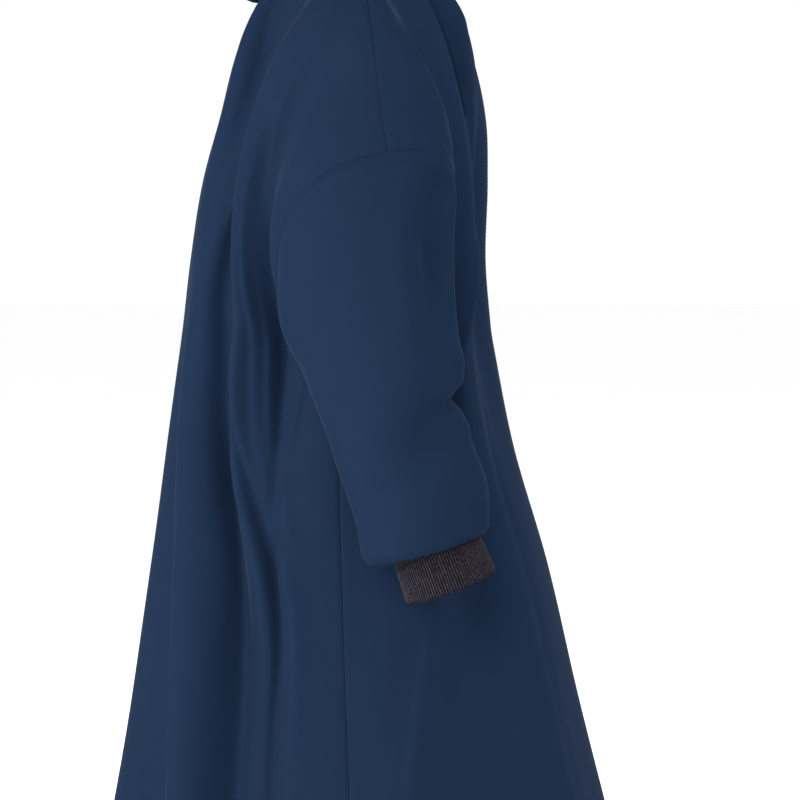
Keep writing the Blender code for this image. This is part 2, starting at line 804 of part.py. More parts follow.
main()
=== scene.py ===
import math
import random

import bpy
import numpy as np
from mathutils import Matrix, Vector


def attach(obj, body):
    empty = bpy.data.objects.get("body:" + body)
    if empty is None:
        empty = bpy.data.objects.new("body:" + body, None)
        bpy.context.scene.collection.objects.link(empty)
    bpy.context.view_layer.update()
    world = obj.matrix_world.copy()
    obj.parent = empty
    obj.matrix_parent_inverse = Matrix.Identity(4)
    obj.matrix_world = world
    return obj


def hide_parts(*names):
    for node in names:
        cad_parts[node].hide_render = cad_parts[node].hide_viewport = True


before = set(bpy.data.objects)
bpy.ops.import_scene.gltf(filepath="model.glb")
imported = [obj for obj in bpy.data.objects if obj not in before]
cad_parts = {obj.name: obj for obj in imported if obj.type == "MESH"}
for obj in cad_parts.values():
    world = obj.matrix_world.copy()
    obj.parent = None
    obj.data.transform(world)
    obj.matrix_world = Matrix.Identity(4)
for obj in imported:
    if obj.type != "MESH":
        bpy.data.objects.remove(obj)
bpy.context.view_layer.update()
print("frame loaded")


# curves and small helpers
def through(knots, values):
    # a cubic through the knots, each with the slope its neighbours give it
    order = np.argsort(knots)
    knots = np.asarray(knots, float)[order]
    values = np.asarray(values, float)[order]
    slopes = np.gradient(values, knots)

    def value(at):
        at = np.asarray(at, float)
        left = np.clip(np.searchsorted(knots, at, side="right") - 1, 0, len(knots) - 2)
        step = knots[left + 1] - knots[left]
        t = np.clip((at - knots[left]) / step, 0, 1)
        return (
            (2 * t**3 - 3 * t**2 + 1) * values[left]
            + (t**3 - 2 * t**2 + t) * step * slopes[left]
            + (3 * t**2 - 2 * t**3) * values[left + 1]
            + (t**3 - t**2) * step * slopes[left + 1]
        )

    return value


def curvesOf(names, rows):
    # the first column is the knots of all the others
    columns = list(zip(*rows))
    return {name: through(columns[0], column) for name, column in zip(names.split()[1:], columns[1:])}


def eased(value, start, end):
    t = np.clip((np.asarray(value, float) - start) / (end - start), 0, 1)
    return t * t * (3 - 2 * t)


def wave(t):
    return (1 - np.cos(math.pi * np.clip(t, 0, 1))) / 2


def stack(x, y, z):
    return np.stack(np.broadcast_arrays(x, y, z), -1).astype(float)


def units(vectors):
    return vectors / np.maximum(np.linalg.norm(vectors, axis=-1, keepdims=True), 1e-9)


def softNoise(seed, places, size):
    # smooth noise from a few waves, about -1 to 1, for places in metres
    chooser = random.Random(seed)
    total = np.zeros(places.shape[:-1])
    for _ in range(9):
        turn = chooser.uniform(0, 2 * math.pi)
        lift = chooser.uniform(-0.6, 0.6)
        length = size * chooser.uniform(0.7, 1.8)
        way = np.array([math.cos(turn), math.sin(turn), lift])
        total += np.sin(places @ way * (2 * math.pi / length) + chooser.uniform(0, 2 * math.pi))
    return total / 5


# the body's form: rings below the arms, strands from there up to the neck and shoulders
body = {
    "hemZ": -1.150,
    "underarmZ": -0.405,
    "neckBackZ": -0.018,
    "neckFrontZ": -0.045,
    "neckShare": 0.27,
    "neckPitch": math.radians(62),
    "neckPull": 0.42,
    "chestPull": 0.38,
    "shoulderPull": 0.27,
    "seamFade": 0.14,
    "fadeLevels": (0.9, 1.1),
    "leftShare": 0.85,
    "leftCreaseShare": 0.8,
    "leftShift": 0.03,
    "leftWander": 0.012,
    "leftWanders": 9,
}
section = curvesOf(
    "z back front halfWidth sideY fullness",
    (
        (-1.150, 0.300, 0.316, 0.365, -0.006, 2.25),
        (-0.950, 0.268, 0.270, 0.333, 0.000, 2.25),
        (-0.780, 0.238, 0.227, 0.303, 0.008, 2.30),
        (-0.640, 0.217, 0.194, 0.275, 0.013, 2.30),
        (-0.520, 0.200, 0.159, 0.252, 0.016, 2.35),
        (-0.405, 0.184, 0.136, 0.235, 0.0095, 2.40),
    ),
)
middle = curvesOf(
    "z back front",
    (
        (-0.405, 0.184, 0.136),
        (-0.330, 0.175, 0.130),
        (-0.246, 0.161, 0.132),
        (-0.184, 0.144, 0.130),
        (-0.123, 0.128, 0.117),
        (-0.061, 0.101, 0.093),
        (-0.018, 0.078, 0.070),
    ),
)
shoulderStart = (0.080, 0.004, 0.000)
shoulderEnd = 0.335
shoulder = curvesOf(
    "x y z",
    (
        shoulderStart,
        (0.130, -0.001, -0.020),
        (0.180, -0.006, -0.048),
        (0.220, -0.011, -0.078),
        (0.255, -0.016, -0.114),
        (0.290, -0.021, -0.157),
        (0.318, -0.026, -0.195),
        (0.335, -0.0305, -0.222),
    ),
)
ringNames = "place x y side depth outerZ midZ innerZ lean frontRise"
armRows = (
    (0, 0.285, -0.0105, 0.050, 0.0805, -0.222, -0.290, -0.405, 0.020, 0.011),
    (1, 0.296, -0.0105, 0.057, 0.0820, -0.250, -0.318, -0.415, 0.018, 0.010),
    (2, 0.304, -0.0120, 0.061, 0.0825, -0.303, -0.358, -0.432, 0.013, 0.008),
    (3, 0.312, -0.0225, 0.062, 0.0745, -0.362, -0.400, -0.452, 0.008, 0.012),
    (4, 0.319, -0.0295, 0.063, 0.0695, -0.405, -0.432, -0.470, 0.005, 0.014),
    (5, 0.327, -0.0380, 0.063, 0.0650, -0.452, -0.468, -0.492, 0.000, 0.014),
    (6, 0.335, -0.0480, 0.062, 0.0630, -0.498, -0.505, -0.518, 0.000, 0.016),
    (7, 0.343, -0.0600, 0.060, 0.0600, -0.544, -0.545, -0.550, 0.000, 0.017),
    (8, 0.349, -0.0650, 0.058, 0.0590, -0.581, -0.579, -0.577, 0.000, 0.014),
)
arm = curvesOf(ringNames, armRows)


def ringPoint(ring, turn):
    # turn 0 is the outer side, a quarter is the back and a half the inner side
    angle = turn * 2 * math.pi
    tilt = (ring["outerZ"] - ring["innerZ"]) / 2
    sag = (ring["outerZ"] + ring["innerZ"]) / 2 - ring["midZ"]
    return stack(
        ring["x"] + ring["side"] * np.cos(angle),
        ring["y"] - ring["lean"] * np.cos(angle) + ring["depth"] * np.sin(angle),
        ring["midZ"] + tilt * np.cos(angle) + sag * np.cos(angle) ** 2 - ring["frontRise"] * np.sin(angle),
    )


armhole = dict(zip(ringNames.split()[1:], armRows[0][1:]))


def bodyRing(across, z):
    halfWidth = section["halfWidth"](z)
    sideY = section["sideY"](z)
    power = 2 / section["fullness"](z)
    angle = across * math.pi / 2
    reach = np.abs(np.cos(angle)) ** power
    x = halfWidth * np.abs(np.sin(angle)) ** power
    back = sideY + (section["back"](z) - sideY) * reach
    front = sideY - (section["front"](z) + sideY) * reach
    return stack(x, np.where(across <= 1, back, front), z)


def middlePoint(face, height):
    top = body["neckBackZ"] if face > 0 else body["neckFrontZ"]
    z = body["underarmZ"] + (top - body["underarmZ"]) * height
    return stack(0.0, face * middle["back" if face > 0 else "front"](z), z)


def topPoint(face, out):
    # the neckline as far as the shoulder's high point, then the shoulder seam
    out = np.asarray(out, float)
    first = np.array(shoulderStart)
    angle = np.clip(out / body["neckShare"], 0, 1) * math.pi / 2
    centre = middlePoint(face, 1.0)
    neck = stack(
        first[0] * np.sin(angle),
        first[1] + (centre[..., 1] - first[1]) * np.cos(angle),
        first[2] + (centre[..., 2] - first[2]) * np.cos(angle),
    )
    x = first[0] + (shoulderEnd - first[0]) * (out - body["neckShare"]) / (1 - body["neckShare"])
    seam = stack(x, shoulder["y"](x), shoulder["z"](x))
    return np.where((out < body["neckShare"])[..., None], neck, seam)


def yokeStrand(face, out, height):
    out, h = np.broadcast_arrays(np.asarray(out, float), np.asarray(height, float))
    across = out if face > 0 else 2 - out
    base = body["underarmZ"]
    nudge = 0.01
    start = bodyRing(across, np.full(out.shape, base))
    climb = (start - bodyRing(across, np.full(out.shape, base - nudge))) / nudge * body["chestPull"]
    end = topPoint(face, out)
    nearness = 1 - eased(out, 0, body["neckShare"])
    pitch = body["neckPitch"] * nearness
    pull = body["shoulderPull"] + (body["neckPull"] - body["shoulderPull"]) * nearness
    over = stack(0.0, -face * np.cos(pitch), np.sin(pitch)) * pull[..., None]
    h = h[..., None]
    return (
        (2 * h**3 - 3 * h**2 + 1) * start
        + (h**3 - 2 * h**2 + h) * climb
        + (3 * h**2 - 2 * h**3) * end
        + (h**3 - h**2) * over
    )


def yokePoint(face, out, height):
    out, height = np.broadcast_arrays(np.asarray(out, float), np.asarray(height, float))
    toMiddle = middlePoint(face, height) - yokeStrand(face, np.zeros(out.shape), height)
    edge = ringPoint(armhole, 0.5 - face * height / 2)
    toArmhole = edge - yokeStrand(face, np.ones(out.shape), height)
    nearMiddle = ((1 - out) ** 2 * (1 + 2 * out))[..., None]
    return yokeStrand(face, out, height) + nearMiddle * toMiddle + (out**2.5)[..., None] * toArmhole


def smoothBody(face, out, level):
    # level is 0 at the hem, 1 at the underarm and 2 at the shoulder and neck
    out, level = np.broadcast_arrays(np.asarray(out, float), np.asarray(level, float))
    across = out if face > 0 else 2 - out
    low = bodyRing(across, body["hemZ"] + (body["underarmZ"] - body["hemZ"]) * np.minimum(level, 1))
    high = yokePoint(face, out, np.clip(level - 1, 0, 1))
    return np.where((level <= 1)[..., None], low, high)


# the body's large folds, the same as the solids': where each crest or trough runs, 0 at the
# middle of the back, 1 at the side and 2 at the middle of the front, and its rise in mm
foldLevels = (0.0, 0.42, 0.67, 0.81, 0.94, 1.12, 1.50, 2.0)
folds = (
    ("back middle", (0,) * 8, (0,) * 8),
    ("back trough", (0.40, 0.36, 0.29, 0.23, 0.16, 0.14, 0.12, 0.12), (-38, -33, -25, -16, -8, -4, -11, -4)),
    ("back lobe", (0.60, 0.545, 0.47, 0.40, 0.30, 0.26, 0.20, 0.19), (7, 7, 5, 4, 2, -2, -10, -4)),
    (
        "blade trough",
        (0.69, 0.68, 0.65, 0.585, 0.53, 0.515, 0.44, 0.32),
        (-25, -29, -30, -30, -31, -32, -26, -4),
    ),
    ("blade ridge", (0.765, 0.76, 0.76, 0.675, 0.645, 0.685, 0.66, 0.62), (-15, -17, -12, -5, 8, 9, 9, 4)),
    ("blade crease", (0.815, 0.81, 0.815, 0.745, 0.70, 0.725, 0.70, 0.67), (-19, -21, -18, -14, -3, 4, 5, 1)),
    ("arm ridge", (0.885, 0.88, 0.88, 0.80, 0.75, 0.76, 0.735, 0.71), (2, 2, 1, -13, -10, -5, -2, 0)),
    ("arm trough", (0.93, 0.925, 0.915, 0.85, 0.80, 0.815, 0.775, 0.76), (2, 2, 0, -10, -20, -22, -15, -2)),
    ("side", (1,) * 8, (2, 2, 2, 1, 0, 0, 0, 0)),
    ("side ridge", (1.045, 1.09, 1.20, 1.25, 1.24, 1.16, 1.14, 1.20), (13, 13, 10, 4, 1, 0, 2, 0)),
    ("armpit trough", (1.25, 1.28, 1.37, 1.40, 1.38, 1.34, 1.36, 1.46), (-13, -13, -12, -8, -10, -20, -27, -8)),
    ("front lobe", (1.58, 1.56, 1.54, 1.52, 1.50, 1.58, 1.75, 1.83), (4, 4, 2, 1, 4, 7, 8, 2)),
    ("front trough", (1.80, 1.80, 1.80, 1.78, 1.76, 1.78, 1.88, 1.92), (-5, -4, -3, -5, -10, -15, -13, -3)),
    ("front middle", (2,) * 8, (0,) * 8),
)
foldCurves = [(through(foldLevels, across), through(foldLevels, rise)) for _, across, rise in folds]

# finer creases over them: level, across, rise in mm and half-width in mm. The sharp side is
# the one towards the back (-1), towards the front (1) or neither (0)
sharpShare = 0.45  # how wide the sharp side is beside the other
sharperShares = {"side tuck": 0.16}
creases = (
    ("blade edge", 0, (
        (0.0, 0.765, 0, 9), (0.60, 0.77, 0, 9), (0.73, 0.740, 1.5, 7), (0.82, 0.650, 2.5, 6),
        (0.92, 0.575, 3, 5), (1.05, 0.52, 3, 5), (1.23, 0.49, 3, 5), (1.36, 0.50, 0, 6),
    )),
    ("blade dip", 0, (
        (0.0, 0.815, -5, 9), (0.50, 0.815, -6, 8), (0.66, 0.815, -8, 6.5), (0.72, 0.790, -8, 6.5),
        (0.82, 0.704, -6, 5), (0.90, 0.640, -5, 4.5), (0.97, 0.60, -4, 4), (1.08, 0.58, -3, 4),
        (1.23, 0.58, -3, 4), (1.40, 0.58, 0, 5),
    )),
    ("arm dip", 0, (
        (0.66, 0.80, 0, 9), (0.76, 0.80, -4, 10), (0.87, 0.802, -5, 10), (0.95, 0.79, -4, 10),
        (1.10, 0.785, -5, 10), (1.33, 0.765, -11, 9), (1.47, 0.735, -10, 9), (1.62, 0.70, 0, 10),
    )),
    ("blade hollow", 1, (
        (1.24, 0.350, 0, 15), (1.36, 0.320, -8, 15), (1.47, 0.290, -12, 15), (1.60, 0.26, -9, 15),
        (1.80, 0.22, 0, 15),
    )),
    ("elbow roll", 0, (
        (0.86, 0.845, 0, 5), (0.90, 0.862, 2.2, 5), (0.95, 0.880, 2.5, 5), (1.00, 0.905, 1.5, 5),
        (1.06, 0.93, 0, 5),
    )),
    ("elbow dip", 0, (
        (0.86, 0.868, 0, 4.5), (0.90, 0.886, -2, 4.5), (0.95, 0.905, -2, 4.5),
        (0.99, 0.925, 0, 4.5),
    )),
    ("lobe rim", -1, (
        (0.0, 0.585, 1.5, 9), (0.41, 0.53, 2, 9), (0.54, 0.480, 2.2, 9), (0.66, 0.428, 2, 9),
        (0.78, 0.363, 1.2, 9), (0.92, 0.29, 0, 9),
    )),
    ("side edge", 1, (
        (0.0, 1.055, 1, 8), (0.30, 1.07, 1.5, 8), (0.44, 1.09, 1.5, 8), (0.58, 1.150, 1.5, 8),
        (0.70, 1.215, 1, 9), (0.85, 1.25, 0, 9),
    )),
    ("side tuck", 1, (
        (0.0, 1.060, -4, 30), (0.30, 1.075, -5, 30), (0.44, 1.095, -6, 30), (0.58, 1.155, -6, 28),
        (0.70, 1.220, -3, 26), (0.85, 1.25, 0, 24),
    )),
    ("chest edge", 1, (
        (0.90, 1.46, 0, 9), (1.04, 1.53, 2.5, 9), (1.19, 1.640, 4, 8), (1.30, 1.750, 4.5, 8),
        (1.40, 1.775, 4.5, 8), (1.51, 1.785, 4.5, 8), (1.65, 1.80, 3.5, 9), (1.80, 1.85, 1.5, 9),
        (1.95, 1.87, 0, 9),
    )),
    ("arm edge", 1, (
        (1.35, 1.06, 0, 9), (1.50, 1.065, 2, 9), (1.64, 1.075, 3, 9), (1.73, 1.11, 3, 9),
        (1.80, 1.22, 2.5, 10), (1.86, 1.36, 0, 12),
    )),
    ("front sweep", 0, (
        (0.0, 1.42, 1.5, 22), (0.35, 1.42, 1.5, 20), (0.70, 1.46, 1, 18), (0.95, 1.50, 0, 18),
    )),
    ("front dip", 0, (
        (0.0, 1.66, -1.5, 24), (0.40, 1.68, -1.5, 20), (0.85, 1.66, -1.5, 16), (1.05, 1.64, 0, 16),
    )),
    ("back sweep", 0, (
        (0.0, 0.16, -3, 26), (0.45, 0.13, -2, 22), (0.9, 0.09, 0, 20),
    )),
)
# the deep fold at the shoulder blade, pressed in sideways: level, across, depth in mm and the
# half-widths towards the back and towards the front in mm
deepFold = (
    (0.0, 0.745, 19, 46, 52),
    (0.42, 0.735, 21, 43, 48),
    (0.61, 0.695, 21, 35, 34),
    (0.72, 0.650, 21, 28, 22),
    (0.82, 0.572, 22, 25, 16),
    (0.92, 0.490, 18, 24, 14),
    (1.06, 0.440, 19, 24, 14),
    (1.23, 0.425, 25, 26, 15),
    (1.42, 0.450, 27, 28, 16),
    (1.58, 0.480, 26, 28, 16),
    (1.74, 0.510, 18, 26, 16),
    (1.90, 0.530, 0, 22, 16),
)
# metres of cloth per unit across, by level
ringLength = through((0, 0.5, 1, 1.5, 2), (0.545, 0.46, 0.385, 0.36, 0.33))


def foldPlaces(level, side):
    places = [crest(level) for crest, _ in foldCurves]
    if side > 0:
        places = [place + body["leftShift"] * np.sin(place * math.pi) for place in places]
    return places


def foldHeight(across, level, side):
    places = foldPlaces(level, side)
    height = np.zeros(np.broadcast(across, level).shape)
    for at in range(1, len(places)):
        share = wave((across - places[at - 1]) / (places[at] - places[at - 1]))
        low = foldCurves[at - 1][1](level)
        high = foldCurves[at][1](level)
        inside = (across >= places[at - 1]) & (across <= places[at])
        height = np.where(inside, low + (high - low) * share, height)
    return height / 1000 * (1 if side < 0 else body["leftShare"])


def creaseHeight(across, level, side):
    height = np.zeros(np.broadcast(across, level).shape)
    for name, sharp, path in creases:
        levels, places, rises, widths = zip(*path)
        shift = 0.0
        if side > 0:
            shift = body["leftShift"] * math.sin(places[0] * math.pi)
            shift += body["leftWander"] * math.sin(body["leftWanders"] * places[0])
        reach = (across - through(levels, places)(level) - shift) * ringLength(level) * 1000
        width = through(levels, widths)(level)
        rise = np.interp(level, levels, rises, left=0 if levels[0] > 0 else rises[0], right=0)
        width = np.where(reach * sharp > 0, width * sharperShares.get(name, sharpShare), width)
        height = height + rise * np.exp(-((reach / width) ** 2))
    return height / 1000 * (1 if side < 0 else body["leftCreaseShare"])


def deepFoldShift(across, level, side):
    levels, places, depths, behind, before = zip(*deepFold)
    place = through(levels, places)(level) + (0 if side < 0 else body["leftShift"])
    reach = (across - place) * ringLength(level) * 1000
    width = np.where(reach > 0, through(levels, before)(level), through(levels, behind)(level))
    share = 1 if side < 0 else body["leftCreaseShare"]
    return np.interp(level, levels, depths) * np.exp(-((reach / width) ** 2)) / 1000 * share


def seamFade(out, level):
    besideArmhole = eased(level, *body["fadeLevels"]) * (1 - eased(1 - out, 0, body["seamFade"]))
    return (1 - besideArmhole) * eased(2 - level, 0, body["seamFade"])


def gridNormals(points, wraps=False):
    # columns run one way and rows up, so that their cross product faces out
    if wraps:
        wide = np.concatenate([points[:, -2:], points, points[:, :2]], axis=1)
        along = np.gradient(wide, axis=1)[:, 2:-2]
    else:
        along = np.gradient(points, axis=1)
    up = np.gradient(points, axis=0)
    return units(np.cross(along, up))


# making cloth from a grid of points
cloth = {
    "wall": 0.0025,
    "seamLap": 0.00005,  # how far a rolled edge reaches past its seam
    "rollWidth": 0.0026,
    "rollDepth": 0.0009,
    "thinRollDepth": 0.0008,
    "mostRoll": 1.2,
    "waviness": 0.0007,
    "finestExtra": 2.2,
    "finestSpan": 0.24,
    "nearRoom": 1.4,
}


def edgeDistance(points, edge):
    if edge in ("left", "right"):
        order = points if edge == "left" else points[:, ::-1]
        steps = np.linalg.norm(np.diff(order, axis=1), axis=-1)
        far = np.concatenate([np.zeros((len(points), 1)), np.cumsum(steps, axis=1)], axis=1)
        return far if edge == "left" else far[:, ::-1]
    order = points if edge == "bottom" else points[::-1]
    steps = np.linalg.norm(np.diff(order, axis=0), axis=-1)
    far = np.concatenate([np.zeros((1, points.shape[1])), np.cumsum(steps, axis=0)], axis=0)
    return far if edge == "bottom" else far[::-1]


def rollIn(points, edges, wraps=False, depth=None):
    # the cloth dips into the seams named by their edges, and each of those edges laps a little
    normals = gridNormals(points, wraps)
    dip = np.zeros(points.shape[:2])
    for edge in edges:
        dip += np.exp(-((edgeDistance(points, edge) / cloth["rollWidth"]) ** 2))
    dip = np.minimum(dip, cloth["mostRoll"]) * (depth or cloth["rollDepth"])
    points = points - normals * dip[..., None]
    for edge in edges:
        axis = 1 if edge in ("left", "right") else 0
        order = np.moveaxis(points, axis, 0)
        last, near = (0, 1) if edge in ("left", "bottom") else (-1, -2)
        order[last] = order[last] - units(order[near] - order[last]) * cloth["seamLap"]
    return points


def pickOnly(obj):
    bpy.ops.object.select_all(action="DESELECT")
    obj.select_set(True)
    bpy.context.view_layer.objects.active = obj


def addMesh(name, points, faces, uvs=None):
    mesh = bpy.data.meshes.new(name)
    corners = np.asarray(points, float).reshape(-1, 3).tolist()
    mesh.from_pydata([tuple(corner) for corner in corners], [], faces)
    if uvs is not None:
        layer = mesh.uv_layers.new(name="cloth")
        order = np.zeros(len(mesh.loops), np.int64)
        mesh.loops.foreach_get("vertex_index", order)
        layer.data.foreach_set("uv", np.asarray(uvs, float).reshape(-1, 2)[order].ravel())
    mesh.shade_smooth()
    obj = bpy.data.objects.new(name, mesh)
    bpy.context.scene.collection.objects.link(obj)
    return obj


def gridFaces(rows, columns, wraps=False, closes=False):
    faces = []
    for row in range(rows if closes else rows - 1):
        low = row * columns
        high = (row + 1) % rows * columns
        for step in range(columns if wraps else columns - 1):
            following = (step + 1) % columns
            faces.append((low + step, low + following, high + following, high + step))
    return faces


def clothPiece(name, points, wraps=False, wall=None):
    rows, columns = points.shape[:2]
    across = edgeDistance(points, "left")
    along = edgeDistance(points, "bottom")
    obj = addMesh(name, points, gridFaces(rows, columns, wraps), np.stack([across, along], -1))
    thick = obj.modifiers.new("wall", "SOLIDIFY")
    thick.thickness = wall or cloth["wall"]
    thick.offset = -1
    thick.use_quality_normals = True
    pickOnly(obj)
    bpy.ops.object.modifier_apply(modifier="wall")
    return obj


def areaOf(points, wraps=False):
    wide = np.concatenate([points, points[:, :1]], axis=1) if wraps else points
    a = wide[1:, 1:] - wide[:-1, :-1]
    b = wide[1:, :-1] - wide[:-1, 1:]
    return float(np.linalg.norm(np.cross(a, b), axis=-1).sum() / 2)


def declare(obj, points, wraps=False):
    area = areaOf(points, wraps)
    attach(obj, "garment")


def closeEnds(count, near, finest=None):
    # steps from 0 to 1, closer about the finest place, with the near ones added at each end for the
    # roll into a seam
    even = np.linspace(0, 1, count)
    if finest:
        density = 1 + cloth["finestExtra"] * np.exp(-(((even - finest) / cloth["finestSpan"]) ** 2))
        total = np.concatenate([[0], np.cumsum((density[1:] + density[:-1]) / 2)])
        even = np.interp(np.linspace(0, total[-1], count), total, even)
    room = max(near) * cloth["nearRoom"]
    inner = even[(even > room) & (even < 1 - room)]
    return np.concatenate([[0], near, inner, 1 - np.array(near)[::-1], [1]])


# back and fronts
panels = {
    "levelRows": 190,
    "backColumns": 112,
    "finest": 0.60,
    "frontColumns": 88,
    "near": (0.0018, 0.004, 0.0065, 0.0095),
    "nearLevels": (0.0016, 0.0034, 0.0055, 0.008),
    "zipHalfWidth": 0.0073,
    "softenings": 30,
    "underarmReach": 0.06,
    "edgeReach": 0.05,
    "armholeReach": 0.06,
    "noiseSeed": 4,
    "noiseSize": 0.085,
    "noiseStretch": 0.45,
}
levelSteps = 2 * closeEnds(panels["levelRows"], panels["nearLevels"])


def bodySurface(face, side, outs):
    out, level = np.meshgrid(outs, levelSteps)
    across = out if face > 0 else 2 - out
    base = smoothBody(face, out, level)
    # the crease where the strands start at the underarm is evened out, away from the edges
    soften = np.exp(-(((level - 1) / panels["underarmReach"]) ** 2))
    soften = soften * eased(1 - out, 0, panels["edgeReach"]) * eased(out, 0, panels["edgeReach"])
    for _ in range(panels["softenings"]):
        between = (base[:-2] + base[2:]) / 2
        base[1:-1] += (between - base[1:-1]) * soften[1:-1, :, None] / 2
    up = np.gradient(base, axis=0)
    along = np.gradient(base, axis=1)
    away = units(np.cross(up, along)) * face
    height = foldHeight(across, level, side) + creaseHeight(across, level, side)
    height = height * seamFade(out, level)
    calm = eased(out, 0, panels["edgeReach"]) if face < 0 else 1
    beside = 1 - eased(1 - out, 0, panels["armholeReach"])
    calm = calm * (1 - eased(level, *body["fadeLevels"]) * beside)
    noise = softNoise(panels["noiseSeed"], base * [side, 1, panels["noiseStretch"]], panels["noiseSize"])
    height = height + noise * cloth["waviness"] * calm
    points = base + away * height[..., None]
    if face > 0:
        points[..., 0] -= deepFoldShift(across, level, side) * seamFade(out, level)
    return points * [side, 1, 1]


outsHalf = closeEnds(panels["backColumns"], panels["near"], panels["finest"])
backOuts = np.concatenate([[0], outsHalf[len(panels["near"]) + 1 :]])
backHalves = [bodySurface(1, 1, backOuts)[:, ::-1], bodySurface(1, -1, backOuts)[:, 1:]]
backGrid = np.concatenate(backHalves, axis=1)
back = clothPiece("back_cloth", rollIn(backGrid, ("left", "right", "top")))
declare(back, backGrid)
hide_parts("back")

frontGrids = {}
frontOuts = closeEnds(panels["frontColumns"], panels["near"])
for wearers, side in (("right", -1), ("left", 1)):
    grid = bodySurface(-1, side, frontOuts)
    grid[..., 0] += side * panels["zipHalfWidth"] * (1 - frontOuts) ** 2
    if side < 0:
        grid = grid[:, ::-1]
    seams = ("right", "top") if side > 0 else ("left", "top")
    piece = clothPiece(f"front_{wearers}_cloth", rollIn(grid, seams))
    declare(piece, grid)
    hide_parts(f"front_{wearers}")
    frontGrids[wearers] = grid
print("body made")

# sleeves: the solids' folds first, then the sharper creases at the elbow
sleeve = {
    "rows": 150,
    "columns": 132,
    "leftShare": 0.85,
    "headPuff": 0.0022,
    "puffAt": 0.30,
    "puffReach": 0.22,
    "noiseSize": 0.075,
    "near": (0, 0.0012, 0.003, 0.0055, 0.009),
    "evenFrom": 0.014,
    "lipRows": 29,
    "lipFold": 2.2,  # rows down, where the lip turns under
    "gather": 0.0007,
    "gathers": 34,
    "gatherReach": 1.1,
    "cuffLap": 0.012,
    "cuffRoom": 0.0003,
}
armFolds = (
    # name, rings down, turn, reach down, reach round, slant, rise in mm
    ("elbow notch", 5.00, 0.775, 0.50, 0.13, 3.0, -11),
    ("above the notch", 4.25, 0.79, 0.55, 0.10, 2.0, 4),
    ("below the notch", 5.60, 0.77, 0.50, 0.12, 2.0, 3.5),
    ("forearm trough", 6.10, 0.90, 0.55, 0.20, 1.0, -5),
    ("forearm roll", 7.05, 0.79, 0.70, 0.16, 1.0, 3),
    ("inner elbow", 5.20, 0.55, 0.70, 0.12, -2.0, -5),
    ("upper arm", 2.05, 0.872, 1.60, 0.085, 0.0, -13),
    ("arm corner", 2.05, 0.945, 1.80, 0.04, 0.0, 2),
)
armCreases = (
    ("facet", 2.30, 0.878, 1.50, 0.050, 0.0, -11.0),
    ("facet edge", 2.30, 0.955, 1.60, 0.030, 0.0, 4.4),
    ("elbow shade", 5.70, 0.90, 0.50, 0.12, 1.6, -6.5),
    ("elbow crown", 4.90, 0.97, 0.80, 0.12, 1.6, 2.0),
    ("notch line", 5.02, 0.79, 0.16, 0.085, 3.4, -4.5),
    ("upper lip", 4.72, 0.81, 0.16, 0.075, 3.6, 3.0),
    ("lip shadow", 4.45, 0.84, 0.14, 0.06, 3.6, -1.4),
    ("lower lip", 5.30, 0.785, 0.17, 0.08, 3.0, 2.4),
    ("forearm line", 6.02, 0.86, 0.22, 0.12, 1.2, -2.2),
    ("forearm swell", 6.50, 0.92, 0.30, 0.14, 1.0, 1.6),
    ("hem pull", 7.55, 0.84, 0.35, 0.05, 0.0, -1.2),
    ("hem pull 2", 7.60, 0.95, 0.35, 0.045, 0.0, -1.0),
    ("hem pull 3", 7.55, 0.12, 0.40, 0.05, 0.0, -1.2),
    ("back drape", 3.60, 0.20, 1.20, 0.05, 0.0, 1.8),
    ("back drape dip", 3.80, 0.13, 1.20, 0.05, 0.0, -1.6),
    ("side drape", 3.10, 0.02, 1.40, 0.07, 0.0, -1.2),
)


def bumps(table, down, turn):
    height = np.zeros(np.broadcast(down, turn).shape)
    for _, at, around, reachDown, reachTurn, slant, rise in table:
        aside = (turn - around + 0.5) % 1 - 0.5
        below = down - at - slant * aside
        height = height + rise / 1000 * np.exp(-((aside / reachTurn) ** 2) - (below / reachDown) ** 2)
    return height


cuff = {
    "ribs": 104,
    "ribRise": 0.0008,
    "wall": 0.0022,
    "length": 0.058,
    "topRadius": 0.0405,
    "endRadius": 0.0430,
    "top": (0.352, -0.068, -0.568),
    "lean": math.radians(21),
    "ribSteps": 8,
    "rows": 16,
    "foldRows": 5,
    "foldRise": 0.018,
    "waist": (-0.0006, 0.30, 0.12),  # rise, place and reach
    "flare": (0.0004, 0.9, 0.08),
    "innerFrom": 0.98,
    "innerRows": 5,
}


def cuffRing(down, add=0.0):
    radius = cuff["topRadius"] + (cuff["endRadius"] - cuff["topRadius"]) * down + add
    travel = cuff["length"] * down
    z = cuff["top"][2] - travel * math.cos(cuff["lean"])
    y = cuff["top"][1] - travel * math.sin(cuff["lean"])
    return {
        "x": cuff["top"][0],
        "y": y,
        "side": radius,
        "depth": radius * math.cos(cuff["lean"]),
        "outerZ": z,
        "midZ": z,
        "innerZ": z,
        "lean": 0.0,
        "frontRise": radius * math.sin(cuff["lean"]),
    }


lapRing = cuffRing(sleeve["cuffLap"] / cuff["length"], cuff["ribRise"] + sleeve["cuffRoom"])
lipRows = (
    (0, 0.349, -0.0650, 0.058, 0.0590, -0.581, -0.579, -0.577, 0.000, 0.014),
    (1, 0.350, -0.0665, 0.0545, 0.0550, -0.5855, -0.5845, -0.5835, 0.0, 0.0155),
    (2, 0.351, -0.0690, 0.0495, 0.0490, -0.5865, -0.5865, -0.5865, 0.0, 0.0150),
    (3, 0.352, -0.0712, 0.0455, 0.0435, -0.5838, -0.5838, -0.5838, 0.0, 0.0145),
    (4, *(lapRing[name] for name in ringNames.split()[1:])),
)
lip = curvesOf(ringNames, lipRows)

